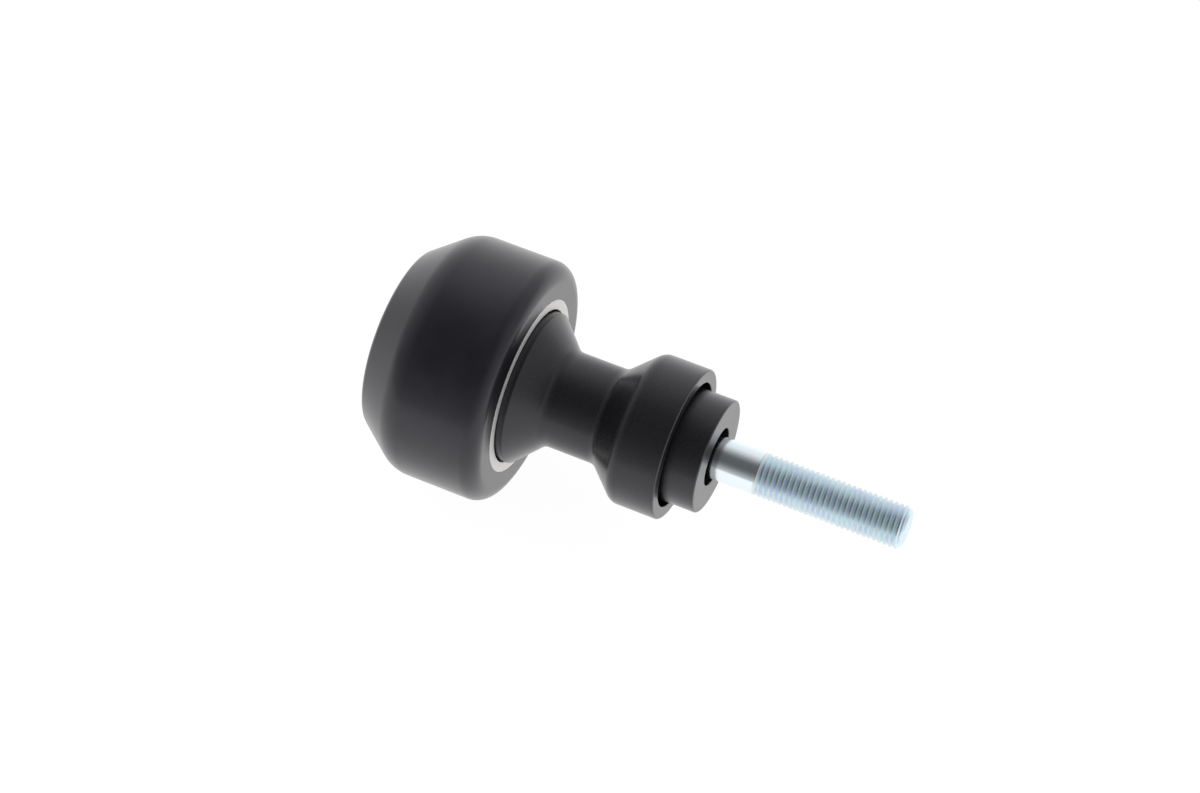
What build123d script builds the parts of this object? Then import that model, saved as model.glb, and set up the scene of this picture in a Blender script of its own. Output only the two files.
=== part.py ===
from build123d import *

import os
from math import radians, tan

# Frame slider for a motorcycle: a nylon bobbin on a turned spindle, bolted through to the frame.
# +Y points outward from the motorcycle and +Z is up. The origin is the point where the
# slider's axis meets the face that seats on the frame. All sizes are in millimetres.

# Bobbin
bobbin_diameter = 57.6
bobbin_length = 32.1
bobbin_cone_length = 10.1
bobbin_nose_diameter = 42.1
bobbin_inner_edge_radius = 4.9
bobbin_crease_radius = 8.4
bobbin_nose_edge_radius = 2.4
recess_diameter = 27.2
recess_floor_chamfer = 1.0
recess_lip = 0.6
web_thickness = 3.7

# Aluminium insert pressed into the bobbin
insert_wall = 2.45
insert_floor = 3.0
insert_press_gap = 0.02
insert_edge_break = 0.25
boss_diameter = 17.0
boss_gap = 0.15
boss_edge_break = 0.5

# Spindle
land_diameter = 35.9
land_length = 6.2
land_standoff = 1.6
land_gap = 0.35
land_edge_break = 0.2
flare_angle = 45.5
flare_blend_radius = 2.9
neck_diameter = 22.7
neck_length = 12.5
neck_blend_radius = 3.0
collar_cone_angle = 43.0
collar_length = 10.9
collar_shoulder_radius = 3.2
collar_edge_break = 0.4
counterbore_diameter = 29.6
counterbore_depth = 8.0
collar_wall = 3.025

# Spigot bush that fills the space between the spindle and the frame
bush_gap = 1.45
bush_projection = 7.7
bush_edge_break = 0.5
relief_diameter = 13.7
relief_depth = 4.5
relief_edge_break = 0.2

# Bolt, M10 x 1.25, and its washer
bolt_diameter = 10.0
bolt_length = 105.0
bolt_clearance = 0.3
thread_length = 35.0
thread_allowance = 0.1
thread_pitch = 1.25
thread_depth_per_pitch = 0.6134
tip_chamfer = 1.0
head_diameter = 16.0
head_height = 10.0
head_edge_chamfer = 0.8
head_root_chamfer = 0.4
hex_across_flats = 8.0
hex_depth = 5.5
hex_point_depth = 1.2
washer_recess_gap = 1.6
washer_thickness = 2.0
washer_bolt_clearance = 0.45
washer_edge_break = 0.3

# Radii that several pieces share
bolt_bore_radius = bolt_diameter / 2 + bolt_clearance
thread_radius = (bolt_diameter - thread_allowance) / 2
bobbin_radius = bobbin_diameter / 2
recess_radius = recess_diameter / 2
washer_radius = recess_radius - washer_recess_gap
boss_radius = boss_diameter / 2
land_radius = land_diameter / 2
socket_radius = land_radius + land_gap
insert_radius = socket_radius + insert_wall
neck_radius = neck_diameter / 2
counterbore_radius = counterbore_diameter / 2
collar_radius = counterbore_radius + collar_wall
bush_radius = counterbore_radius - bush_gap

# Stations along the axis, counted outward from the frame's face
collar_face = bush_projection
bush_floor = collar_face + counterbore_depth
shoulder = collar_face + collar_length
neck_start = shoulder + (collar_radius - neck_radius) / tan(radians(collar_cone_angle))
neck_end = neck_start + neck_length
flare_end = neck_end + (land_radius - neck_radius) / tan(radians(flare_angle))
bobbin_face = flare_end + land_standoff
spindle_end = flare_end + land_length
insert_shoulder = spindle_end + insert_floor
boss_end = insert_shoulder + web_thickness
washer_end = boss_end + washer_thickness
head_end = washer_end + head_height
nose_face = bobbin_face + bobbin_length
crease = nose_face - bobbin_cone_length
bolt_tip = washer_end - bolt_length
thread_start = bolt_tip + thread_length

# Planes square to the axis, each facing the way a tool would come in
INWARD = (0, -1, 0)
OUTWARD = (0, 1, 0)


def station(distance, facing):
    """Plane square to the slider's axis at a distance outward from the frame's face."""
    return Plane(origin=(0, distance, 0), x_dir=(1, 0, 0), z_dir=facing)


def corner(sketch, radius, distance):
    """Corner of a turned section that lies nearest to the given radius and station."""
    return sketch.vertices().sort_by_distance((radius, distance, 0))[0]


# Bobbin: a rounded puck with a coned nose, a pocket for the insert and a deep recess
with BuildPart() as bobbin:
    with BuildSketch(Plane.XY) as bobbin_section:
        with BuildLine():
            Polyline(
                (0, bobbin_face),
                (bobbin_radius, bobbin_face),
                (bobbin_radius, crease),
                (bobbin_nose_diameter / 2, nose_face),
                (0, nose_face),
                close=True,
            )
        make_face()
        fillet(corner(bobbin_section, bobbin_radius, bobbin_face), bobbin_inner_edge_radius)
        fillet(corner(bobbin_section, bobbin_radius, crease), bobbin_crease_radius)
        fillet(corner(bobbin_section, bobbin_nose_diameter / 2, nose_face), bobbin_nose_edge_radius)
    revolve(axis=Axis.Y)
    with BuildSketch(Plane.XY) as pocket_section:
        with BuildLine():
            Polyline(
                (0, bobbin_face),
                (insert_radius + insert_press_gap, bobbin_face),
                (insert_radius + insert_press_gap, insert_shoulder),
                (boss_radius + boss_gap, insert_shoulder),
                (boss_radius + boss_gap, boss_end),
                (recess_radius, boss_end),
                (recess_radius, nose_face - recess_lip),
                (recess_radius + recess_lip, nose_face),
                (0, nose_face),
                close=True,
            )
        make_face()
        chamfer(corner(pocket_section, recess_radius, boss_end), recess_floor_chamfer)
    revolve(axis=Axis.Y, mode=Mode.SUBTRACT)
bobbin.part.label = "bobbin"

# Insert: a turned cup that carries the spindle's head, with a boss through the bobbin's web
with BuildPart() as insert:
    with BuildSketch(Plane.XY) as insert_section:
        with BuildLine():
            Polyline(
                (socket_radius, bobbin_face),
                (insert_radius, bobbin_face),
                (insert_radius, insert_shoulder),
                (boss_radius, insert_shoulder),
                (boss_radius, boss_end),
                (bolt_bore_radius, boss_end),
                (bolt_bore_radius, spindle_end),
                (socket_radius, spindle_end),
                close=True,
            )
        make_face()
        chamfer(corner(insert_section, socket_radius, bobbin_face), insert_edge_break)
        chamfer(corner(insert_section, insert_radius, bobbin_face), insert_edge_break)
        chamfer(corner(insert_section, insert_radius, insert_shoulder), insert_edge_break)
        chamfer(corner(insert_section, boss_radius, boss_end), boss_edge_break)
    revolve(axis=Axis.Y)
insert.part.label = "insert"

# Spindle: land, flare, neck, cone and collar turned from one bar, bored through for the bolt
with BuildPart() as spindle:
    with BuildSketch(Plane.XY) as spindle_section:
        with BuildLine():
            Polyline(
                (0, collar_face),
                (collar_radius, collar_face),
                (collar_radius, shoulder),
                (neck_radius, neck_start),
                (neck_radius, neck_end),
                (land_radius, flare_end),
                (land_radius, spindle_end),
                (0, spindle_end),
                close=True,
            )
        make_face()
        chamfer(corner(spindle_section, collar_radius, collar_face), collar_edge_break)
        fillet(corner(spindle_section, collar_radius, shoulder), collar_shoulder_radius)
        fillet(corner(spindle_section, neck_radius, neck_start), neck_blend_radius)
        fillet(corner(spindle_section, neck_radius, neck_end), flare_blend_radius)
        chamfer(corner(spindle_section, land_radius, flare_end), land_edge_break)
        chamfer(corner(spindle_section, land_radius, spindle_end), land_edge_break)
    revolve(axis=Axis.Y)
    with Locations(station(collar_face, INWARD)):
        CounterBoreHole(bolt_bore_radius, counterbore_radius, counterbore_depth)
    mouth = spindle.edges().filter_by(GeomType.CIRCLE).group_by(Axis.Y)[0]
    chamfer(mouth.sort_by(SortBy.RADIUS)[0], land_edge_break)
spindle.part.label = "spindle"

# Spigot bush: a plain tube on the counterbore's floor, relieved where the bolt leaves it
with BuildPart() as spigot_bush:
    with BuildSketch(station(0, OUTWARD)):
        Circle(bush_radius)
    extrude(amount=bush_floor)
    rims = spigot_bush.edges().filter_by(GeomType.CIRCLE)
    chamfer(rims, bush_edge_break)
    with Locations(station(0, INWARD)):
        CounterBoreHole(bolt_bore_radius, relief_diameter / 2, relief_depth)
    mouth = spigot_bush.edges().filter_by(GeomType.CIRCLE).group_by(Axis.Y)[0]
    chamfer(mouth.sort_by(SortBy.RADIUS)[0], relief_edge_break)
spigot_bush.part.label = "spigot_bush"

# Washer: a flat ring between the bolt's head and the insert's boss
with BuildPart() as washer:
    with BuildSketch(station(boss_end, OUTWARD)):
        Circle(washer_radius)
        Circle(bolt_diameter / 2 + washer_bolt_clearance, mode=Mode.SUBTRACT)
    extrude(amount=washer_thickness)
    outer_rims = washer.edges().filter_by(GeomType.CIRCLE).sort_by(SortBy.RADIUS)[-2:]
    chamfer(outer_rims, washer_edge_break)
washer.part.label = "washer"

# Bolt: socket head, plain shank, run-out groove and a thread drawn at its crest diameter
with BuildPart() as bolt:
    groove_radius = thread_radius - thread_pitch * thread_depth_per_pitch / 2
    groove_end = thread_start + bolt_diameter / 2 - groove_radius
    groove_floor = thread_start - thread_radius + groove_radius
    with BuildSketch(Plane.XY) as bolt_section:
        with BuildLine():
            Polyline(
                (0, bolt_tip),
                (thread_radius, bolt_tip),
                (thread_radius, groove_floor),
                (groove_radius, thread_start),
                (bolt_diameter / 2, groove_end),
                (bolt_diameter / 2, washer_end),
                (head_diameter / 2, washer_end),
                (head_diameter / 2, head_end),
                (0, head_end),
                close=True,
            )
        make_face()
        chamfer(corner(bolt_section, thread_radius, bolt_tip), tip_chamfer)
        chamfer(corner(bolt_section, bolt_diameter / 2, washer_end), head_root_chamfer)
        chamfer(corner(bolt_section, head_diameter / 2, head_end), head_edge_chamfer)
    revolve(axis=Axis.Y)
    with BuildSketch(station(head_end, OUTWARD)):
        RegularPolygon(hex_across_flats / 2, 6, major_radius=False)
    extrude(amount=-hex_depth, mode=Mode.SUBTRACT)
    with Locations(station(head_end - hex_depth, INWARD)):
        Cone(
            hex_across_flats / 2,
            0,
            hex_point_depth,
            align=(Align.CENTER, Align.CENTER, Align.MIN),
            mode=Mode.SUBTRACT,
        )
bolt.part.label = "bolt"

# One file for each piece
os.makedirs("parts", exist_ok=True)
export_step(bobbin.part, "parts/bobbin.step")
export_step(insert.part, "parts/insert.step")
export_step(spindle.part, "parts/spindle.step")
export_step(spigot_bush.part, "parts/spigot_bush.step")
export_step(washer.part, "parts/washer.step")
export_step(bolt.part, "parts/bolt.step")
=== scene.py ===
"""Frame slider for a motorcycle: smooth turned pieces and their finishes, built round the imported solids.

Lengths are in metres, in the solids' own frame: +Y points outward from the motorcycle along the
slider's axis, and +Z is up. Each sub-assembly is a class that takes its places from the frame.
"""

import logging
import math
from dataclasses import dataclass
from enum import Enum
from typing import Any, Optional, Sequence, Union

import bmesh
import bpy
from mathutils import Matrix, Vector


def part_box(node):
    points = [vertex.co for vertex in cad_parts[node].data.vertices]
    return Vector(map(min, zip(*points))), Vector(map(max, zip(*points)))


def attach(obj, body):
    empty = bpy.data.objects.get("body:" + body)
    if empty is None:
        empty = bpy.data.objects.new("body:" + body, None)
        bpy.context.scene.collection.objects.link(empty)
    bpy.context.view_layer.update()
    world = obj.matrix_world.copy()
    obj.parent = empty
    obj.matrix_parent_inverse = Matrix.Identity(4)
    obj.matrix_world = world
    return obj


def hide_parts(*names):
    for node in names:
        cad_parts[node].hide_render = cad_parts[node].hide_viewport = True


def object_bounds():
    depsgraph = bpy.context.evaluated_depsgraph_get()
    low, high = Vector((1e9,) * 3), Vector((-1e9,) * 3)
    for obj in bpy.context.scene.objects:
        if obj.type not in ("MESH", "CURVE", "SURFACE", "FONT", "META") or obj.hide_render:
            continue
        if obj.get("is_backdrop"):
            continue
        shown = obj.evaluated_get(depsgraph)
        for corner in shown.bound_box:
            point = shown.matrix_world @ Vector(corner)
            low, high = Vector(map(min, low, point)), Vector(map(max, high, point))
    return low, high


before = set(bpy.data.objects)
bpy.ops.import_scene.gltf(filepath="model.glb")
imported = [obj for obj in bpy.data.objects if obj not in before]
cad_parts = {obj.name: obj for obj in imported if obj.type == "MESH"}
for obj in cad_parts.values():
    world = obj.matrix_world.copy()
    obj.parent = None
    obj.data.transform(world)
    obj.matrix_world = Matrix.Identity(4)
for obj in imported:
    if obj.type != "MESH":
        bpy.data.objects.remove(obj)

LOG = logging.getLogger("frame_slider")

MM = 0.001
FULL_TURN = 2 * math.pi

# Meshes: a stretch gets holding points only where it is longer than HELD_FROM holds
ARC_STEP = math.radians(4)
FEWEST_ARC_STEPS = 3
HELD_FROM = 4
SHARP_ANGLE = math.radians(28)
MERGE_DISTANCE = 0.5e-6
ANGLE_DIGITS = 6

# Finishes: both black ones have the same clear coat
SMOOTH_STEP = {"interpolation_type": "SMOOTHSTEP"}
NOISE_ROUGHNESS = 0.55
MIDDLE_NOISE = 0.5
WHITE = (1.0, 1.0, 1.0)
CLEAR_COAT = {"IOR": 1.45, "Specular Tint": (0.90, 0.86, 1.0, 1.0), "Coat Weight": 0.45}


def add_object(name: str, data: bpy.types.ID) -> bpy.types.Object:
    """Adds an object to the scene.

    Args:
        name: the object's name.
        data: its mesh, light or camera.

    Returns:
        The object, at the origin.
    """
    added = bpy.data.objects.new(name, data)
    bpy.context.scene.collection.objects.link(added)
    return added


# Shader and geometry trees


class Wire:
    """One output socket whose Python operators add Math nodes to its tree."""

    def __init__(self, bench: "Bench", socket: bpy.types.NodeSocket) -> None:
        """Keeps the socket and the bench that adds nodes beside it."""
        self.bench = bench
        self.socket = socket

    def math(self, operation: str, *others: "Value") -> "Wire":
        """Result of a Math node that takes this wire first."""
        return self.bench.math(operation, self, *others)

    def __add__(self, other: "Value") -> "Wire":
        """Sum."""
        return self.math("ADD", other)

    __radd__ = __add__

    def __sub__(self, other: "Value") -> "Wire":
        """Difference."""
        return self.math("SUBTRACT", other)

    def __rsub__(self, other: "Value") -> "Wire":
        """Difference from a number on the left."""
        return self.bench.math("SUBTRACT", other, self)

    def __mul__(self, other: "Value") -> "Wire":
        """Product."""
        return self.math("MULTIPLY", other)

    __rmul__ = __mul__

    def __truediv__(self, other: "Value") -> "Wire":
        """Quotient."""
        return self.math("DIVIDE", other)

    def __rtruediv__(self, other: "Value") -> "Wire":
        """Quotient of a number on the left."""
        return self.bench.math("DIVIDE", other, self)

    def least(self, other: "Value") -> "Wire":
        """Lower of two values."""
        return self.math("MINIMUM", other)

    def most(self, other: "Value") -> "Wire":
        """Higher of two values."""
        return self.math("MAXIMUM", other)

    def within(self, low: "Value", high: "Value") -> "Wire":
        """Value held between two limits."""
        return self.most(low).least(high)

    def sine(self) -> "Wire":
        """Sine of an angle in radians."""
        return self.math("SINE")

    def cosine(self) -> "Wire":
        """Cosine of an angle in radians."""
        return self.math("COSINE")

    def fraction(self) -> "Wire":
        """Part after the decimal point."""
        return self.math("FRACT")

    def size(self) -> "Wire":
        """Value without its sign."""
        return self.math("ABSOLUTE")


Value = Union[Wire, float]
Colour = tuple[float, float, float]
Paint = Union[Wire, Colour]


def opaque(paint: Paint) -> Union[Wire, tuple[float, ...]]:
    """Paint as a colour socket takes it: a wire as it is, and a colour with full alpha."""
    return paint if isinstance(paint, Wire) else (*paint, 1.0)


class Bench:
    """Adds nodes to one tree, in the order in which the expressions ask for them."""

    def __init__(self, tree: bpy.types.NodeTree) -> None:
        """Starts with an empty tree."""
        self.tree = tree
        self.tree.nodes.clear()

    def node(
        self,
        kind: str,
        settings: Optional[dict[str, Any]] = None,
        inputs: Optional[dict[Union[str, int], Any]] = None,
    ) -> bpy.types.Node:
        """Adds a node, sets it and feeds its sockets.

        Args:
            kind: the node's type.
            settings: values for the node's own fields, which are set first.
            inputs: a number, a colour or a wire for each named or numbered socket.

        Returns:
            The new node.
        """
        node = self.tree.nodes.new(kind)
        for name, value in (settings or {}).items():
            setattr(node, name, value)
        for name, value in (inputs or {}).items():
            if isinstance(value, Wire):
                self.tree.links.new(value.socket, node.inputs[name])
            else:
                node.inputs[name].default_value = value
        return node

    def wire(self, kind: str, output: Union[str, int] = 0, **fields: Any) -> Wire:
        """Wire from one output of a new node, with the settings and inputs that node takes."""
        return Wire(self, self.node(kind, **fields).outputs[output])

    def math(self, operation: str, *values: Value) -> Wire:
        """Result of a Math node on values that may be numbers or wires."""
        inputs = dict(enumerate(values))
        return self.wire("ShaderNodeMath", settings={"operation": operation}, inputs=inputs)

    def parts(self, vector: Wire) -> tuple[Wire, Wire, Wire]:
        """The X, Y and Z of a vector."""
        x, y, z = self.node("ShaderNodeSeparateXYZ", inputs={0: vector}).outputs
        return Wire(self, x), Wire(self, y), Wire(self, z)

    def vector(self, x: Value, y: Value, z: Value) -> Wire:
        """Vector of three values."""
        return self.wire("ShaderNodeCombineXYZ", inputs={0: x, 1: y, 2: z})

    def step(self, value: Wire, low: float, high: float) -> Wire:
        """Smooth rise from 0 at low to 1 at high."""
        fields = {"Value": value, "From Min": low, "From Max": high}
        return self.wire("ShaderNodeMapRange", settings=SMOOTH_STEP, inputs=fields)

    def between(self, share: Wire, first: Paint, second: Paint) -> Wire:
        """Colour between two, by a share."""
        inputs = {0: share, 6: opaque(first), 7: opaque(second)}
        return self.wire("ShaderNodeMix", 2, settings={"data_type": "RGBA"}, inputs=inputs)

    def cosine_to(self, direction: Wire, axis: Vector) -> Wire:
        """Cosine of the angle between a direction and an axis."""
        dot = {"operation": "DOT_PRODUCT"}
        return self.wire("ShaderNodeVectorMath", "Value", settings=dot, inputs={0: direction, 1: axis})


class GeometryRecipe:
    """A geometry tree with named inputs, which is run once and leaves a plain mesh."""

    def __init__(self, name: str) -> None:
        """Starts an empty tree that puts out a geometry.

        Args:
            name: the tree's name.
        """
        self.tree = bpy.data.node_groups.new(name, "GeometryNodeTree")
        self.bench = Bench(self.tree)
        self.tree.interface.new_socket("Geometry", in_out="OUTPUT", socket_type="NodeSocketGeometry")
        self.values: dict[str, Any] = {}
        self.names: list[str] = []

    def takes(self, name: str, kind: str, value: Any = None) -> None:
        """Adds an input and keeps the value that its modifier gets.

        Args:
            name: the input's name.
            kind: the socket's type.
            value: what the modifier gives it, or None for the geometry itself.
        """
        socket = self.tree.interface.new_socket(name, in_out="INPUT", socket_type=kind)
        self.names.append(name)
        if value is not None:
            self.values[socket.identifier] = value

    def takes_lengths(self, lengths: dict[str, float]) -> None:
        """Adds an input for each named length."""
        for name, length in lengths.items():
            self.takes(name, "NodeSocketFloat", length)

    def inputs(self) -> dict[str, Wire]:
        """Wires of the tree's inputs, by name."""
        node = self.bench.node("NodeGroupInput")
        return {name: Wire(self.bench, node.outputs[name]) for name in self.names}

    def ends(self, geometry: Wire, material: Wire) -> None:
        """Ends the tree in Realize Instances and Set Material.

        Args:
            geometry: what the tree made.
            material: the input that holds the finish.
        """
        real = self.bench.wire("GeometryNodeRealizeInstances", inputs={"Geometry": geometry})
        fields = {"Geometry": real, "Material": material}
        dressed = self.bench.wire("GeometryNodeSetMaterial", inputs=fields)
        self.bench.node("NodeGroupOutput", inputs={"Geometry": dressed})

    def run(self, start: bpy.types.Mesh) -> bpy.types.Mesh:
        """Runs the tree on a mesh.

        Args:
            start: the mesh that the tree gets.

        Returns:
            The plain mesh that it leaves.
        """
        worker = add_object(self.tree.name + "_worker", start)
        modifier = worker.modifiers.new(self.tree.name, "NODES")
        modifier.node_group = self.tree
        for identifier, value in self.values.items():
            modifier[identifier] = value
        graph = bpy.context.evaluated_depsgraph_get()
        mesh = bpy.data.meshes.new_from_object(worker.evaluated_get(graph), depsgraph=graph)
        worker.modifiers.remove(modifier)
        bpy.data.objects.remove(worker)
        return mesh


# Turned shapes


class RingForm(Enum):
    """Outline of one ring of a turned mesh."""

    ROUND = "round"
    HEX = "hex"


@dataclass(frozen=True)
class Corner:
    """Corner of a turned section: its distance from the axis and along it, and the arc that rounds it."""

    radius: float
    station: float
    blend: float = 0.0


@dataclass(frozen=True)
class Ring:
    """Ring of a turned mesh. The radius of a hexagon is that of the circle inside it."""

    radius: float
    station: float
    form: RingForm = RingForm.ROUND

    def point(self, turn: float) -> tuple[float, float, float]:
        """Finds the point of the ring at an angle.

        Args:
            turn: the angle, from +Z toward +X.

        Returns:
            The point's X, Y and Z.
        """
        reach = self.radius
        if self.form is RingForm.HEX:
            sixth = FULL_TURN / 6
            reach /= math.cos((turn + sixth / 2) % sixth - sixth / 2)
        return reach * math.sin(turn), self.station, reach * math.cos(turn)


@dataclass(frozen=True)
class Section:
    """Section that is turned about the Y axis. Hold is how far its holding points stand from an end."""

    corners: tuple[Corner, ...]
    closed: bool = True
    hold: float = 0.12 * MM

    def rings(self) -> list[Ring]:
        """Rings of the section, with its corners rounded and its straight stretches held at both ends.

        Returns:
            The rings in the order of the corners.
        """
        points: list[Vector] = []
        for place, corner in enumerate(self.corners):
            inner = self.closed or 0 < place < len(self.corners) - 1
            if corner.blend and inner:
                points += self._arc(place)
            else:
                points.append(Vector((corner.radius, corner.station)))
        return [Ring(point.x, point.y) for point in self._held(points)]

    def _arc(self, place: int) -> list[Vector]:
        """Rounds one corner by an arc that is tangent to both sides.

        Args:
            place: the corner's number.

        Returns:
            The arc's points.
        """
        count = len(self.corners)
        before, corner, after = (self.corners[(place + step) % count] for step in (-1, 0, 1))
        here = Vector((corner.radius, corner.station))
        back = (Vector((before.radius, before.station)) - here).normalized()
        ahead = (Vector((after.radius, after.station)) - here).normalized()
        half = back.angle(ahead) / 2
        centre = here + (back + ahead).normalized() * (corner.blend / math.sin(half))
        start = here + back * (corner.blend / math.tan(half)) - centre
        sweep = math.copysign(math.pi - 2 * half, back.y * ahead.x - back.x * ahead.y)
        steps = max(FEWEST_ARC_STEPS, math.ceil(abs(sweep) / ARC_STEP))
        turns = (sweep * step / steps for step in range(steps + 1))
        return [centre + Matrix.Rotation(turn, 2) @ start for turn in turns]

    def _held(self, points: list[Vector]) -> list[Vector]:
        """Adds a point near each end of every long stretch, which keeps flat faces flat in shading.

        Args:
            points: the section's points.

        Returns:
            The same points with those added.
        """
        held: list[Vector] = []
        for place, point in enumerate(points):
            held.append(point)
            if place == len(points) - 1 and not self.closed:
                break
            following = points[(place + 1) % len(points)]
            length = (following - point).length
            if length > HELD_FROM * self.hold:
                held.append(point.lerp(following, self.hold / length))
                held.append(following.lerp(point, self.hold / length))
        return held


def turned_mesh(name: str, rings: Sequence[Ring], segments: int, closed: bool = True) -> bpy.types.Mesh:
    """Joins rings in their order into a mesh round the Y axis.

    Args:
        name: the mesh's name.
        rings: the rings, of which one with no radius is a pole.
        segments: how many points a ring has.
        closed: whether the last ring joins the first.

    Returns:
        The mesh, with its faces outward and smooth.
    """
    shape = bmesh.new()
    rows = []
    for ring in rings:
        count = 1 if ring.radius == 0 else segments
        turns = (FULL_TURN * step / segments for step in range(count))
        rows.append([shape.verts.new(ring.point(turn)) for turn in turns])
    pairs = list(zip(rows, rows[1:]))
    if closed:
        pairs.append((rows[-1], rows[0]))
    for first, second in pairs:
        for step in range(segments):
            following = (step + 1) % segments
            face = [first[step % len(first)], first[following % len(first)]]
            face += [second[following % len(second)], second[step % len(second)]]
            shape.faces.new(list(dict.fromkeys(face)))
    return finished_mesh(name, shape)


def finished_mesh(name: str, shape: bmesh.types.BMesh) -> bpy.types.Mesh:
    """Writes a shape to a mesh with its doubles merged and its faces outward and smooth.

    Args:
        name: the mesh's name.
        shape: the shape, which is freed.

    Returns:
        The mesh, with its edges sharp past SHARP_ANGLE.
    """
    bmesh.ops.remove_doubles(shape, verts=shape.verts, dist=MERGE_DISTANCE)
    bmesh.ops.recalc_face_normals(shape, faces=shape.faces)
    if shape.calc_volume(signed=True) < 0:
        bmesh.ops.reverse_faces(shape, faces=shape.faces)
    mesh = bpy.data.meshes.new(name)
    for face in shape.faces:
        face.smooth = True
    shape.to_mesh(mesh)
    shape.free()
    mesh.set_sharp_from_angle(angle=SHARP_ANGLE)
    return mesh


def dress_piece(
    name: str,
    mesh: bpy.types.Mesh,
    material: bpy.types.Material,
    body: str,
    node: str,
) -> None:
    """Makes a piece from a mesh, lets it ride on a body and stand for its solid.

    Args:
        name: the piece's name.
        mesh: its mesh, in the frame's place.
        material: its finish.
        body: the body that it rides on.
        node: the solid that it stands for.
    """
    piece = add_object(name, mesh)
    mesh.materials.clear()
    mesh.materials.append(material)
    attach(piece, body)
    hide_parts(node)
    LOG.info("%s: %d faces, on %s", name, len(mesh.polygons), body)


# Finishes


def new_material(name: str) -> tuple[bpy.types.Material, Bench]:
    """Makes a material with an empty tree.

    Args:
        name: the material's name.

    Returns:
        The material, and the bench of its tree.
    """
    material = bpy.data.materials.new(name)
    material.use_nodes = True
    return material, Bench(material.node_tree)


@dataclass(frozen=True)
class Surface:
    """Places on a piece that the finishes read: its plain coordinates, its station and its radius."""

    place: Wire
    station: Wire
    radius: Wire

    @staticmethod
    def read(bench: Bench) -> "Surface":
        """Reads the coordinates of the piece that wears the finish.

        Args:
            bench: the bench of the finish's tree.

        Returns:
            The places, as wires.
        """
        place = bench.wire("ShaderNodeTexCoord", "Object")
        x, y, z = bench.parts(place)
        return Surface(place, y, (x * x + z * z).math("SQRT"))

    def noise(self, grain: float, detail: float = 2.0, stretch: float = 1.0) -> Wire:
        """Noise round a half.

        Args:
            grain: length of one grain along the axis.
            detail: how many finer layers it has.
            stretch: how many times as wide as long a grain is, below 1 for lengthwise streaks.

        Returns:
            The wire of the noise.
        """
        bench = self.place.bench
        x, y, z = bench.parts(self.place)
        return bench.wire("ShaderNodeTexNoise", "Fac", inputs={
            "Vector": bench.vector(x, y * stretch, z),
            "Scale": 1 / (grain * stretch),
            "Detail": detail,
            "Roughness": NOISE_ROUGHNESS,
        })

    def tool_rings(self, pitch: float) -> Wire:
        """Wave of the fine rings that a tool leaves on turned sides and faces."""
        return ((self.station + self.radius) * (FULL_TURN / pitch)).sine()


def sway(noise: Wire, amount: float) -> Wire:
    """Noise as a swing of that amount about zero."""
    return (noise - MIDDLE_NOISE) * amount


def bump(bench: Bench, height: Wire) -> Wire:
    """Normal that a height in metres gives."""
    return bench.wire("ShaderNodeBump", inputs={"Height": height, "Distance": 1.0, "Strength": 1.0})


def put_out(bench: Bench, fields: dict[str, Any]) -> None:
    """Ends a material in one Principled shader with the given sockets."""
    shader = bench.wire("ShaderNodeBsdfPrincipled", "BSDF", inputs=fields)
    bench.node("ShaderNodeOutputMaterial", inputs={"Surface": shader})


@dataclass(frozen=True)
class NylonFinish:
    """Satin black nylon that was turned and lightly polished."""

    dark: Colour = (0.0082, 0.0075, 0.0096)
    pale: Colour = (0.0110, 0.0101, 0.0126)
    rough: float = 0.30
    coat_rough: float = 0.24
    cloud: float = 9 * MM
    cloud_range: tuple[float, float] = (0.35, 0.65)
    cloud_rough: float = 0.10
    grain: float = 0.25 * MM
    grain_depth: float = 0.0008 * MM
    grain_rough: float = 0.05
    tool_pitch: float = 0.22 * MM
    tool_depth: float = 0.0006 * MM

    def material(self) -> bpy.types.Material:
        """Builds the material.

        Returns:
            The material.
        """
        material, bench = new_material("black_nylon")
        surface = Surface.read(bench)
        cloud = surface.noise(self.cloud)
        grain = surface.noise(self.grain)
        height = surface.tool_rings(self.tool_pitch) * self.tool_depth + grain * self.grain_depth
        put_out(bench, {
            **CLEAR_COAT,
            "Base Color": bench.between(bench.step(cloud, *self.cloud_range), self.dark, self.pale),
            "Roughness": self.rough + sway(cloud, self.cloud_rough) + sway(grain, self.grain_rough),
            "Coat Roughness": self.coat_rough,
            "Normal": bump(bench, height),
        })
        return material


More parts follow.
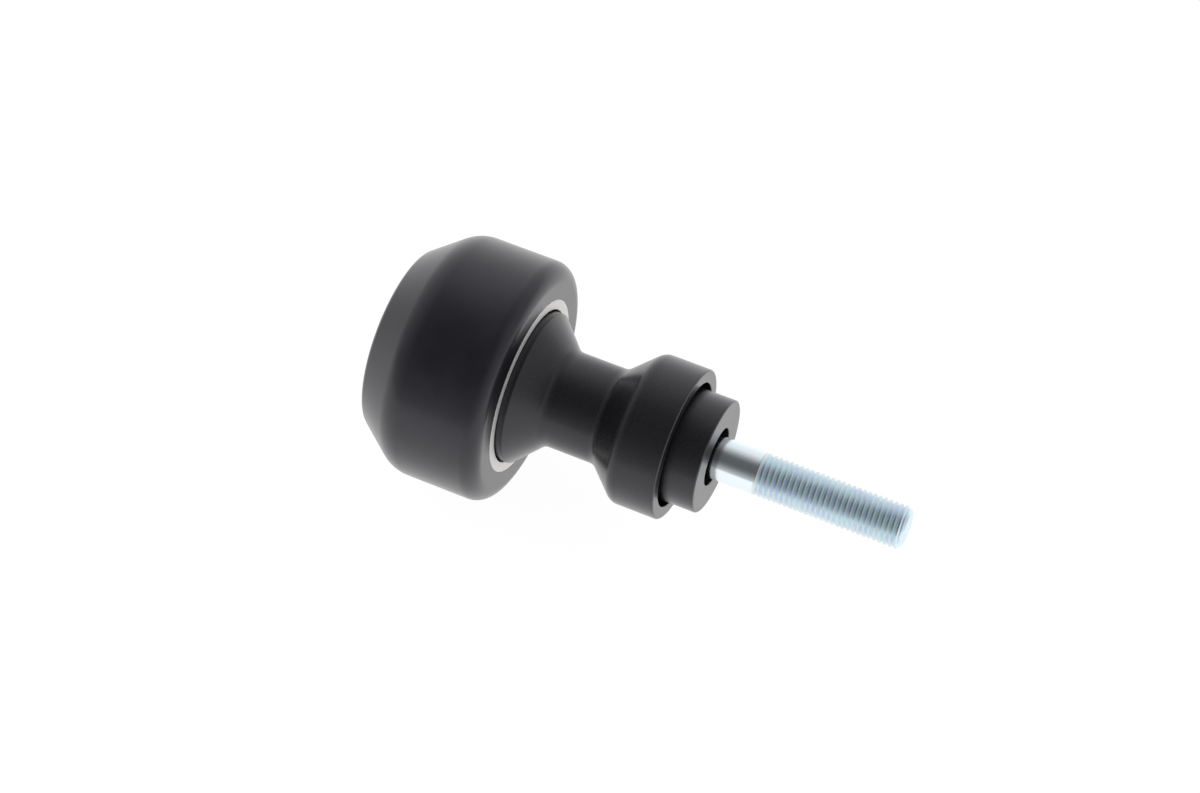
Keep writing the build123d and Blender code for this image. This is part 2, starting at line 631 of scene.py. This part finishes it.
@dataclass(frozen=True)
class AnodisedFinish:
    """Black anodised aluminium over fine blasted grain, with a painted highlight: a thin pale line on each
    sharp rim.
    """

    rims: tuple[tuple[float, float], ...]
    rim_width: float = 0.35 * MM
    rim_core: float = 0.0875 * MM
    # Colour of the painted highlight line on the sharp rims
    rim_highlight_tone: Colour = (0.055, 0.055, 0.058)
    # Grain levels over which the painted highlight line breaks up
    highlight_break_range: tuple[float, float] = (0.3, 0.6)
    dark: Colour = (0.0058, 0.0054, 0.0064)
    pale: Colour = (0.0120, 0.0112, 0.0128)
    rough: float = 0.3
    coat_rough: float = 0.28
    cloud: float = 6 * MM
    cloud_rough: float = 0.08
    grain: float = 0.22 * MM
    grain_detail: float = 3.0
    grain_stretch: float = 1.6
    grain_range: tuple[float, float] = (0.35, 0.7)
    grain_depth: float = 0.006 * MM
    grain_rough: float = 0.16
    tool_pitch: float = 0.2 * MM
    tool_depth: float = 0.0006 * MM

    def painted_rim_highlight(self, bench: Bench, surface: Surface, grain: Wire) -> Wire:
        """Finds where the painted highlight lies: a thin pale line along each sharp rim.

        Args:
            bench: the bench of the finish's tree.
            surface: the places on the piece.
            grain: the noise that breaks the line up.

        Returns:
            The wire of a share: up to 1 on a rim, and 0 away from all of them.
        """
        painted_rim_highlight: Value = 0.0
        for radius, station in self.rims:
            away = (surface.radius - radius).size().most((surface.station - station).size())
            near = bench.step(away * -1.0, -self.rim_width, -self.rim_core)
            painted_rim_highlight = bench.math("MAXIMUM", painted_rim_highlight, near)
        return painted_rim_highlight * bench.step(grain, *self.highlight_break_range)

    def material(self) -> bpy.types.Material:
        """Builds the material.

        Returns:
            The material.
        """
        material, bench = new_material("black_anodised_aluminium")
        surface = Surface.read(bench)
        cloud = surface.noise(self.cloud)
        grain = surface.noise(self.grain, self.grain_detail, self.grain_stretch)
        height = surface.tool_rings(self.tool_pitch) * self.tool_depth + grain * self.grain_depth
        black = bench.between(bench.step(grain, *self.grain_range), self.dark, self.pale)
        put_out(bench, {
            **CLEAR_COAT,
            # Painted highlight: a pale line on each sharp rim, mixed over the black
            "Base Color": bench.between(self.painted_rim_highlight(bench, surface, grain), black, self.rim_highlight_tone),
            "Roughness": self.rough + sway(cloud, self.cloud_rough) + sway(grain, self.grain_rough),
            "Coat Roughness": self.coat_rough,
            "Normal": bump(bench, height),
        })
        return material


@dataclass(frozen=True)
class BareAluminiumFinish:
    """Bright aluminium with the fine rings that a lathe leaves on a faced end."""

    dark: Colour = (0.86, 0.85, 0.83)
    pale: Colour = (0.96, 0.95, 0.93)
    metal: float = 0.85
    rough: float = 0.62
    cloud: float = 3 * MM
    cloud_rough: float = 0.12
    tool_pitch: float = 0.11 * MM
    tool_depth: float = 0.0012 * MM

    def material(self) -> bpy.types.Material:
        """Builds the material.

        Returns:
            The material.
        """
        material, bench = new_material("bare_aluminium")
        surface = Surface.read(bench)
        cloud = surface.noise(self.cloud)
        put_out(bench, {
            "Base Color": bench.between(cloud, self.dark, self.pale),
            "Metallic": self.metal,
            "Roughness": self.rough + sway(cloud, self.cloud_rough),
            "Normal": bump(bench, surface.tool_rings(self.tool_pitch) * self.tool_depth),
        })
        return material


@dataclass(frozen=True)
class ZincFinish:
    """Bright zinc plate: drawn streaks on the shank, bluer flanks and plainer crests on the thread."""

    thread_start: float
    crest_radius: float
    shank_radius: float
    start_fade: float = 0.4 * MM
    # Depths under the crest between which its own look sets in
    crest_fade: tuple[float, float] = (0.12 * MM, 0.02 * MM)
    # Shares of the shank's radius between which its streaks end
    shank_fade: tuple[float, float] = (1.02, 1.08)
    plain: Colour = (0.86, 0.95, 1.0)
    warm: Colour = (0.89, 0.94, 0.95)
    cloud: float = 2.5 * MM
    cloud_range: tuple[float, float] = (0.4, 0.65)
    crest: Colour = (0.74, 0.78, 0.78)
    blue: Colour = (0.75, 0.87, 1.0)
    cyan: Colour = (0.79, 0.96, 1.0)
    tint: float = 5 * MM
    tint_stretch: float = 0.5
    tint_range: tuple[float, float] = (0.35, 0.65)
    metal: float = 1.0
    flank_metal: float = 0.8
    rough: float = 0.15
    flank_rough: float = 0.32
    crest_rough: float = 0.33
    streak_length: float = 8.0 * MM
    streak_width: float = 0.45 * MM
    streak_detail: float = 3.0
    streak_depth: float = 0.014 * MM
    streak_rough: float = 0.10

    def material(self) -> bpy.types.Material:
        """Builds the material.

        Returns:
            The material.
        """
        material, bench = new_material("zinc_plate")
        surface = Surface.read(bench)
        radius = surface.radius
        cloud = surface.noise(self.cloud)
        tint = surface.noise(self.tint, stretch=self.tint_stretch)
        narrow = self.streak_width / self.streak_length
        streaks = surface.noise(self.streak_length, self.streak_detail, narrow)
        thread = bench.step(self.thread_start - surface.station, -self.start_fade, self.start_fade)
        on_crest = bench.step(radius, *(self.crest_radius - fade for fade in self.crest_fade))
        beyond = bench.step(radius, *(self.shank_radius * share for share in self.shank_fade))
        shank = (1.0 - thread) * (1.0 - beyond)
        flank = thread * (1.0 - on_crest)
        top = thread * on_crest
        plate = bench.between(bench.step(cloud, *self.cloud_range), self.plain, self.warm)
        tints = bench.between(bench.step(tint, *self.tint_range), self.blue, self.cyan)
        crests = bench.between(thread, plate, self.crest)
        worked = flank * (self.flank_rough - self.rough) + top * (self.crest_rough - self.rough)
        put_out(bench, {
            "Base Color": bench.between(flank, crests, tints),
            "Metallic": self.metal + flank * (self.flank_metal - self.metal),
            "Roughness": self.rough + worked + sway(streaks, self.streak_rough),
            "Normal": bump(bench, streaks * shank * self.streak_depth),
        })
        return material


# Sub-assemblies


@dataclass
class Bobbin:
    """Nylon puck with a coned nose, and the aluminium cup pressed into its inner face."""

    segments: int = 192
    cone_length: float = 10.1 * MM
    nose_radius: float = 21.05 * MM
    # Rounded a little less than the solid's, as the outline in the photograph asks
    inner_edge: float = 4.0 * MM
    crease: float = 8.4 * MM
    nose_edge: float = 2.4 * MM
    recess_radius: float = 13.6 * MM
    recess_lip: float = 0.6 * MM
    recess_floor_edge: float = 1.0 * MM
    boss_radius: float = 8.5 * MM
    boss_gap: float = 0.15 * MM
    web: float = 3.7 * MM
    cup_wall: float = 2.45 * MM
    cup_floor: float = 3.0 * MM
    cup_gap: float = 0.03 * MM
    bore_radius: float = 5.3 * MM
    fine_edge: float = 0.15 * MM
    flush_edge: float = 0.05 * MM

    def __post_init__(self) -> None:
        """Takes the puck's and the cup's places from the frame."""
        low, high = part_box("bobbin")
        self.face, self.nose, self.rim = low.y, high.y, high.x
        low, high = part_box("insert")
        self.boss_end, self.cup_radius = high.y, high.x
        self.shoulder = self.boss_end - self.web

    def puck(self) -> bpy.types.Mesh:
        """Turns the nylon puck.

        Returns:
            Its mesh.
        """
        pocket = self.cup_radius + self.cup_gap
        boss_hole = self.boss_radius + self.boss_gap
        section = Section((
            Corner(pocket, self.face, self.flush_edge),
            Corner(self.rim, self.face, self.inner_edge),
            Corner(self.rim, self.nose - self.cone_length, self.crease),
            Corner(self.nose_radius, self.nose, self.nose_edge),
            Corner(self.recess_radius + self.recess_lip, self.nose, self.fine_edge),
            Corner(self.recess_radius, self.nose - self.recess_lip, self.fine_edge),
            Corner(self.recess_radius, self.boss_end, self.recess_floor_edge),
            Corner(boss_hole, self.boss_end),
            Corner(boss_hole, self.shoulder),
            Corner(pocket, self.shoulder),
        ))
        return turned_mesh("nylon_puck", section.rings(), self.segments)

    def cup(self) -> bpy.types.Mesh:
        """Turns the aluminium cup.

        Returns:
            Its mesh.
        """
        socket = self.cup_radius - self.cup_wall
        floor = self.shoulder - self.cup_floor
        section = Section((
            Corner(socket, self.face, 2 * self.fine_edge),
            Corner(self.cup_radius, self.face, self.flush_edge),
            Corner(self.cup_radius, self.shoulder, 2 * self.fine_edge),
            Corner(self.boss_radius, self.shoulder),
            Corner(self.boss_radius, self.boss_end, 2 * self.fine_edge),
            Corner(self.bore_radius, self.boss_end, self.fine_edge),
            Corner(self.bore_radius, floor),
            Corner(socket, floor),
        ))
        return turned_mesh("aluminium_cup", section.rings(), self.segments)

    def build(self) -> None:
        """Builds and dresses both pieces."""
        nylon = NylonFinish().material()
        dress_piece("nylon_puck", self.puck(), nylon, "slider", "bobbin")
        bare = BareAluminiumFinish().material()
        dress_piece("aluminium_cup", self.cup(), bare, "slider", "insert")


@dataclass
class Spindle:
    """Waisted spindle, and the spigot bush that stands in its counterbore."""

    segments: int = 144
    land_length: float = 6.2 * MM
    land_edge: float = 0.3 * MM
    flare_angle: float = math.radians(45.5)
    flare_blend: float = 2.9 * MM
    neck_radius: float = 11.35 * MM
    neck_length: float = 12.5 * MM
    neck_blend: float = 3.0 * MM
    cone_angle: float = math.radians(43)
    collar_radius: float = 17.825 * MM
    collar_shoulder: float = 3.2 * MM
    collar_edge: float = 0.5 * MM
    counterbore_radius: float = 14.8 * MM
    counterbore_depth: float = 8.0 * MM
    bore_radius: float = 5.3 * MM
    bush_edge: float = 0.45 * MM
    relief_radius: float = 6.85 * MM
    relief_depth: float = 4.5 * MM
    fine_edge: float = 0.2 * MM

    def __post_init__(self) -> None:
        """Takes the spindle's and the bush's places from the frame."""
        low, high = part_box("spindle")
        self.collar_face, self.end, self.land_radius = low.y, high.y, high.x
        low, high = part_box("spigot_bush")
        self.seat, self.bush_end, self.bush_radius = low.y, high.y, high.x

    def waisted(self) -> bpy.types.Mesh:
        """Turns the spindle.

        Returns:
            Its mesh.
        """
        flare_end = self.end - self.land_length
        neck_end = flare_end - (self.land_radius - self.neck_radius) / math.tan(self.flare_angle)
        neck_start = neck_end - self.neck_length
        cone_length = (self.collar_radius - self.neck_radius) / math.tan(self.cone_angle)
        floor = self.collar_face + self.counterbore_depth
        section = Section((
            Corner(self.counterbore_radius, self.collar_face, self.fine_edge),
            Corner(self.collar_radius, self.collar_face, self.collar_edge),
            Corner(self.collar_radius, neck_start - cone_length, self.collar_shoulder),
            Corner(self.neck_radius, neck_start, self.neck_blend),
            Corner(self.neck_radius, neck_end, self.flare_blend),
            Corner(self.land_radius, flare_end, self.land_edge),
            Corner(self.land_radius, self.end, self.land_edge),
            Corner(self.bore_radius, self.end),
            Corner(self.bore_radius, floor),
            Corner(self.counterbore_radius, floor, self.fine_edge),
        ))
        return turned_mesh("waisted_spindle", section.rings(), self.segments)

    def bush(self) -> bpy.types.Mesh:
        """Turns the spigot bush.

        Returns:
            Its mesh.
        """
        floor = self.seat + self.relief_depth
        section = Section((
            Corner(self.relief_radius, self.seat, self.fine_edge),
            Corner(self.bush_radius, self.seat, self.bush_edge),
            Corner(self.bush_radius, self.bush_end, self.bush_edge),
            Corner(self.bore_radius, self.bush_end),
            Corner(self.bore_radius, floor),
            Corner(self.relief_radius, floor),
        ))
        return turned_mesh("spigot_tube", section.rings(), self.segments)

    def build(self) -> None:
        """Builds and dresses both pieces."""
        rims = ((self.collar_radius, self.collar_face), (self.bush_radius, self.seat))
        black = AnodisedFinish(rims=rims).material()
        dress_piece("waisted_spindle", self.waisted(), black, "slider", "spindle")
        dress_piece("spigot_tube", self.bush(), black, "slider", "spigot_bush")


@dataclass
class Fastener:
    """Socket-head bolt with a helical thread and a knurled head, and its washer."""

    segments: int = 72
    shank_radius: float = 5.0 * MM
    crest_radius: float = 4.95 * MM
    root_radius: float = 4.28 * MM
    pitch: float = 1.25 * MM
    points_per_pitch: int = 16
    # The crest and each flank, as shares of one pitch
    crest_share: float = 5 / 16
    flank_share: float = 5 / 16
    # Turns wound ahead of the tip, and in all beyond the thread's own length
    lead_turns: int = 2
    spare_turns: int = 3
    thread_length: float = 35.0 * MM
    run_out: float = 1.1 * MM
    tip_radius: float = 3.95 * MM
    head_root: float = 0.4 * MM
    under_edge: float = 0.3 * MM
    top_edge: float = 0.9 * MM
    teeth: int = 48
    points_per_tooth: int = 6
    tooth_depth: float = 0.22 * MM
    plain_band: float = 1.0 * MM
    hex_inner_radius: float = 4.0 * MM
    hex_depth: float = 5.5 * MM
    hex_lead: float = 0.35 * MM
    # Round rings about the hexagon, on the top, at its mouth and on its floor, as shares of its radius
    top_share: float = 1.3
    mouth_share: float = 1.08
    floor_share: float = 0.96
    point_depth: float = 1.2 * MM
    washer_hole: float = 5.45 * MM
    washer_edge: float = 0.3 * MM

    def __post_init__(self) -> None:
        """Takes the bolt's and the washer's places from the frame."""
        low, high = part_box("bolt")
        self.tip, self.head_end, self.head_radius = low.y, high.y, high.x
        low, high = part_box("washer")
        self.washer_start, self.head_start, self.washer_radius = low.y, high.y, high.x
        self.thread_end = self.tip + self.thread_length

    def thread_recipe(self, material: bpy.types.Material) -> GeometryRecipe:
        """Tree that winds a trapezoid round the axis, from a pole at the tip to the shank.

        Args:
            material: the finish that the tree sets.

        Returns:
            The tree with its inputs set.
        """
        turns = math.ceil(self.thread_length / self.pitch) + self.spare_turns
        rows = turns * self.points_per_pitch + 1
        recipe = GeometryRecipe("helical_thread")
        recipe.takes("Rows", "NodeSocketInt", rows)
        recipe.takes("Columns", "NodeSocketInt", self.segments + 1)
        recipe.takes_lengths({
            "Wound Length": turns * self.pitch,
            "Pitch": self.pitch,
            "Crest Radius": self.crest_radius,
            "Root Radius": self.root_radius,
            "Tip Radius": self.tip_radius,
            "Tip": self.tip,
            "End": self.thread_end,
            "Run Out": self.run_out,
            "Merge Distance": MERGE_DISTANCE,
        })
        recipe.takes("Material", "NodeSocketMaterial", material)
        bench = recipe.bench
        sizes = recipe.inputs()
        grid = bench.wire("GeometryNodeMeshGrid", "Mesh", inputs={
            "Size X": 1.0,
            "Size Y": 1.0,
            "Vertices X": sizes["Rows"],
            "Vertices Y": sizes["Columns"],
        })
        across, around, _ = bench.parts(bench.wire("GeometryNodeInputPosition"))
        # The grid is a square of side 1 about the origin, so a half more makes the shares run from 0 to 1
        share = across + 0.5
        part_turn = around + 0.5
        wound = share * sizes["Wound Length"]
        first = sizes["Tip"] - self.lead_turns * sizes["Pitch"]
        station = (first + wound + part_turn * sizes["Pitch"]).within(sizes["Tip"], sizes["End"])
        # One pitch holds a crest, a falling flank, a root and a rising flank, in that order
        phase = (wound / sizes["Pitch"]).fraction()
        falling = ((phase - self.crest_share) / self.flank_share).within(0.0, 1.0)
        rising = ((phase - (1 - self.flank_share)) / self.flank_share).within(0.0, 1.0)
        fading = ((sizes["End"] - station) / sizes["Run Out"]).within(0.0, 1.0)
        depth = (sizes["Crest Radius"] - sizes["Root Radius"]) * (falling - rising) * fading
        radius = (sizes["Crest Radius"] - depth).least(sizes["Tip Radius"] + station - sizes["Tip"])
        # The first row of the grid closes on the axis, as the pole of the tip
        quarter_row = 0.25 / rows
        reach = radius * share.math("GREATER_THAN", quarter_row)
        angle = part_turn * FULL_TURN
        place = bench.vector(reach * angle.sine(), station, reach * angle.cosine())
        helix = bench.wire("GeometryNodeSetPosition", inputs={"Geometry": grid, "Position": place})
        fields = {"Geometry": helix, "Distance": sizes["Merge Distance"]}
        merged = bench.wire("GeometryNodeMergeByDistance", inputs=fields)
        recipe.ends(merged, sizes["Material"])
        return recipe

    def knurl_recipe(self, material: bpy.types.Material) -> GeometryRecipe:
        """Tree that cuts straight teeth into the side of a turned head.

        Args:
            material: the finish that the tree sets.

        Returns:
            The tree with its inputs set.
        """
        recipe = GeometryRecipe("straight_knurl")
        recipe.takes("Geometry", "NodeSocketGeometry")
        recipe.takes("Teeth", "NodeSocketInt", self.teeth)
        recipe.takes_lengths({
            "Tooth Depth": self.tooth_depth,
            "Head Radius": self.head_radius,
            "From": self.head_start + self.plain_band,
            "To": self.head_end - self.plain_band,
        })
        recipe.takes("Material", "NodeSocketMaterial", material)
        bench = recipe.bench
        sizes = recipe.inputs()
        x, y, z = bench.parts(bench.wire("GeometryNodeInputPosition"))
        radius = (x * x + z * z).math("SQRT")
        turn = x.math("ARCTAN2", z) / FULL_TURN + 1.0
        # A triangle wave: 1 at the bottom of a groove and 0 at the top of a tooth
        groove = ((turn * sizes["Teeth"]).fraction() - 0.5).size() * 2
        on_side = radius.math("GREATER_THAN", sizes["Head Radius"] - self.tooth_depth / 2)
        above = y.math("GREATER_THAN", sizes["From"])
        below = y.math("LESS_THAN", sizes["To"])
        cut = groove * sizes["Tooth Depth"] * on_side * above * below
        share = 1 - cut / radius.most(self.tooth_depth)
        place = bench.vector(x * share, y, z * share)
        fields = {"Geometry": sizes["Geometry"], "Position": place}
        knurled = bench.wire("GeometryNodeSetPosition", inputs=fields)
        recipe.ends(knurled, sizes["Material"])
        return recipe

    def shank(self) -> bpy.types.Mesh:
        """Turns the open tube from the end of the thread to the root of the head.

        Returns:
            Its mesh.
        """
        full_width = self.thread_end + self.run_out / 4
        section = Section((
            Corner(self.crest_radius, self.thread_end),
            Corner(self.shank_radius, full_width, self.head_root / 2),
            Corner(self.shank_radius, self.head_start, self.head_root),
            Corner(self.shank_radius + self.head_root, self.head_start),
        ), closed=False)
        return turned_mesh("bolt_shank", section.rings(), self.segments, closed=False)

    def head(self, material: bpy.types.Material) -> bpy.types.Mesh:
        """Turns the head from its underside to the bottom of its socket and cuts the knurl.

        Args:
            material: the finish that the knurl's tree sets.

        Returns:
            Its mesh, open at the shank.
        """
        outside = Section((
            Corner(self.head_radius - 2 * self.under_edge, self.head_start),
            Corner(self.head_radius, self.head_start, self.under_edge),
            Corner(self.head_radius, self.head_end, self.top_edge),
            Corner(self.hex_inner_radius * self.top_share, self.head_end),
        ), closed=False, hold=self.plain_band / 2)
        mouth = self.hex_inner_radius + self.hex_lead
        bottom = self.head_end - self.hex_depth
        socket = [
            Ring(mouth * self.mouth_share, self.head_end),
            Ring(mouth, self.head_end - self.hex_lead / 4, RingForm.HEX),
            Ring(self.hex_inner_radius, self.head_end - self.hex_lead, RingForm.HEX),
            Ring(self.hex_inner_radius, bottom, RingForm.HEX),
            Ring(self.hex_inner_radius * self.floor_share, bottom),
            Ring(0.0, bottom - self.point_depth),
        ]
        segments = self.teeth * self.points_per_tooth
        plain = turned_mesh("plain_head", outside.rings() + socket, segments, closed=False)
        return self.knurl_recipe(material).run(plain)

    def bolt(self, material: bpy.types.Material) -> bpy.types.Mesh:
        """Joins the thread, the shank and the head edge to edge.

        Args:
            material: the finish that the trees set.

        Returns:
            The bolt's mesh.
        """
        thread = self.thread_recipe(material).run(bpy.data.meshes.new("thread_start"))
        shape = bmesh.new()
        for part in (thread, self.shank(), self.head(material)):
            shape.from_mesh(part)
        bmesh.ops.remove_doubles(shape, verts=shape.verts, dist=MERGE_DISTANCE)
        self._close_underside(shape)
        return finished_mesh("socket_bolt", shape)

    def _close_underside(self, shape: bmesh.types.BMesh) -> None:
        """Fills the flat ring between the shank's open rim and the head's.

        Args:
            shape: the bolt with only those two rims open.
        """
        rim = [vert for vert in shape.verts if vert.is_boundary]
        rim.sort(key=lambda vert: round(math.atan2(vert.co.x, vert.co.z), ANGLE_DIGITS))
        middle = (self.shank_radius + self.head_root + self.head_radius) / 2
        inner = [vert for vert in rim if math.hypot(vert.co.x, vert.co.z) < middle]
        outer = [vert for vert in rim if math.hypot(vert.co.x, vert.co.z) > middle]
        # The head's rim has several points for each one of the shank's
        share = len(outer) // len(inner)
        for step in range(len(inner)):
            face = [inner[step], inner[(step + 1) % len(inner)]]
            face += [outer[(share * (step + 1) - back) % len(outer)] for back in range(share + 1)]
            shape.faces.new(face)

    def washer(self) -> bpy.types.Mesh:
        """Turns the washer.

        Returns:
            Its mesh.
        """
        section = Section((
            Corner(self.washer_hole, self.washer_start, self.washer_edge / 2),
            Corner(self.washer_radius, self.washer_start, self.washer_edge),
            Corner(self.washer_radius, self.head_start, self.washer_edge),
            Corner(self.washer_hole, self.head_start, self.washer_edge / 2),
        ))
        return turned_mesh("plain_washer", section.rings(), 2 * self.segments)

    def build(self) -> None:
        """Builds and dresses both pieces."""
        zinc = ZincFinish(self.thread_end, self.crest_radius, self.shank_radius).material()
        dress_piece("socket_bolt", self.bolt(zinc), zinc, "bolt", "bolt")
        dress_piece("plain_washer", self.washer(), zinc, "washer", "washer")


# Studio


@dataclass(frozen=True)
class Viewpoint:
    """Camera at the photograph's angle. Pixels count in the photograph's frame."""

    azimuth: float = math.radians(-65.2)
    elevation: float = math.radians(54.9)
    width: float = 1200.0
    height: float = 793.0
    focal_pixels: float = 3200.0
    sensor: float = 36.0
    sighted_station: float = -28.4 * MM
    sighted_pixel: tuple[float, float] = (834.8, 501.8)
    sighted_depth: float = 705.7 * MM
    near: float = 10 * MM
    far: float = 20.0

    def axes(self) -> tuple[Vector, Vector, Vector]:
        """Finds the camera's axes.

        Returns:
            Its right, up and back.
        """
        east, north = math.cos(self.azimuth), math.sin(self.azimuth)
        level, rise = math.cos(self.elevation), math.sin(self.elevation)
        right = Vector((east, north, 0.0))
        up = Vector((-north * rise, east * rise, level))
        back = Vector((north * level, -east * level, rise))
        return right, up, back

    def place(self) -> None:
        """Puts the camera where the sighted point of the axis falls on its pixel."""
        right, up, back = self.axes()
        across = (self.sighted_pixel[0] - self.width / 2) / self.focal_pixels
        down = (self.sighted_pixel[1] - self.height / 2) / self.focal_pixels
        sight = right * across - up * down - back
        data = bpy.data.cameras.new("viewpoint")
        data.sensor_width = self.sensor
        data.lens = self.focal_pixels / self.width * self.sensor
        data.clip_start = self.near
        data.clip_end = self.far
        camera = add_object("viewpoint", data)
        turn = Matrix((right, up, back)).transposed().to_4x4()
        point = Vector((0.0, self.sighted_station, 0.0)) - sight * self.sighted_depth
        camera.matrix_world = Matrix.Translation(point) @ turn
        bpy.context.scene.camera = camera


@dataclass(frozen=True)
class Studio:
    """White floor under a white dome that darkens over the camera and dims to its left and right."""

    viewpoint: Viewpoint
    floor_drop: float = 0.1 * MM
    floor_reach: float = 3.0
    floor_white: Colour = (0.92, 0.92, 0.92)
    floor_glow: float = 0.9
    floor_strength: float = 1.06
    dark_tilt: float = math.radians(12)
    dark_lean: float = math.radians(8)
    dark_inner: float = math.radians(18)
    dark_outer: float = math.radians(92)
    dark_light: float = 0.12
    side_light: float = 0.92
    low_angle: float = math.radians(110)
    low_light: float = 1.0
    end_dim: float = 0.4
    dome_tone: Colour = (0.975, 0.985, 1.0)
    boxes: tuple[tuple[float, float, float], ...] = (
        (0.15, -0.85, 0.85),
        (0.15, 0.85, 0.85),
        (-1.0, -0.25, 0.65),
    )
    box_size: tuple[float, float] = (1.3, 0.8)
    box_light: float = 1.5

    def shown(self, bench: Bench) -> Wire:
        """Tells the rays that see the floor plain white.

        Args:
            bench: the bench of the floor's tree.

        Returns:
            The wire of 1 for camera, glossy and transmission rays, and 0 for the others.
        """
        outputs = bench.node("ShaderNodeLightPath").outputs
        names = ("Is Camera Ray", "Is Glossy Ray", "Is Transmission Ray")
        camera, glossy, transmission = (Wire(bench, outputs[name]) for name in names)
        return camera.most(glossy).most(transmission)

    def lay_floor(self) -> None:
        """Lays the floor just under the object."""
        low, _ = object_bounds()
        height = low.z - self.floor_drop
        corners = ((-1, -1), (1, -1), (1, 1), (-1, 1))
        points = [(x * self.floor_reach, y * self.floor_reach, height) for x, y in corners]
        mesh = bpy.data.meshes.new("floor")
        mesh.from_pydata(points, [], [(0, 1, 2, 3)])
        floor = add_object("floor", mesh)
        material, bench = new_material("white_floor")
        matte = bench.wire("ShaderNodeBsdfDiffuse", inputs={"Color": opaque(self.floor_white)})
        fields = {"Color": opaque(WHITE), "Strength": self.floor_strength}
        glow = bench.wire("ShaderNodeEmission", inputs=fields)
        share = self.shown(bench) * self.floor_glow
        mixed = bench.wire("ShaderNodeMixShader", inputs={0: share, 1: matte, 2: glow})
        bench.node("ShaderNodeOutputMaterial", inputs={"Surface": mixed})
        mesh.materials.append(material)
        floor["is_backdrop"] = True

    def light_sky(self) -> None:
        """Lights the dome by the angle from its dark middle. The camera itself sees plain white."""
        world = bpy.data.worlds.new("studio")
        world.use_nodes = True
        bpy.context.scene.world = world
        bench = Bench(world.node_tree)
        direction = bench.wire("ShaderNodeTexCoord", "Generated")
        right, up, back = self.viewpoint.axes()
        middle = (back + up * math.tan(self.dark_tilt) - right * math.tan(self.dark_lean)).normalized()
        angle = bench.cosine_to(direction, middle).math("ARCCOSINE")
        side = bench.step(angle, self.dark_inner, self.dark_outer) * (self.side_light - self.dark_light)
        low = bench.step(angle, self.dark_outer, self.low_angle) * (self.low_light - self.side_light)
        ends = bench.cosine_to(direction, right)
        light = (side + low + self.dark_light) * (1.0 - ends * ends * self.end_dim)
        seen = bench.wire("ShaderNodeLightPath", "Is Camera Ray")
        strength = light + seen * (1.0 - light)
        fields = {"Color": bench.between(seen, self.dome_tone, WHITE), "Strength": strength}
        background = bench.wire("ShaderNodeBackground", inputs=fields)
        bench.node("ShaderNodeOutputWorld", inputs={"Surface": background})

    def hang_softboxes(self) -> None:
        """Hangs a wide softbox beyond each end of the slider and one beside it, all hidden from gloss."""
        for number, place in enumerate(self.boxes, 1):
            data = bpy.data.lights.new(f"softbox_{number}", "AREA")
            data.shape = "RECTANGLE"
            data.size, data.size_y = self.box_size
            data.energy = self.box_light * math.pi * self.box_size[0] * self.box_size[1]
            softbox = add_object(data.name, data)
            softbox.visible_glossy = False
            point = Vector(place)
            turn = point.to_track_quat("Z", "Y").to_matrix().to_4x4()
            softbox.matrix_world = Matrix.Translation(point) @ turn

    def build(self) -> None:
        """Builds the floor, the lights and the camera."""
        self.lay_floor()
        self.light_sky()
        self.hang_softboxes()
        self.viewpoint.place()
        bpy.context.scene.view_settings.view_transform = "Standard"


def main() -> None:
    """Builds the slider and its studio."""
    logging.basicConfig(level=logging.INFO, format="%(name)s: %(message)s")
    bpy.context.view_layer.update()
    for assembly in (Bobbin(), Spindle(), Fastener()):
        assembly.build()
    Studio(Viewpoint()).build()


if __name__ == "__main__":
    main()
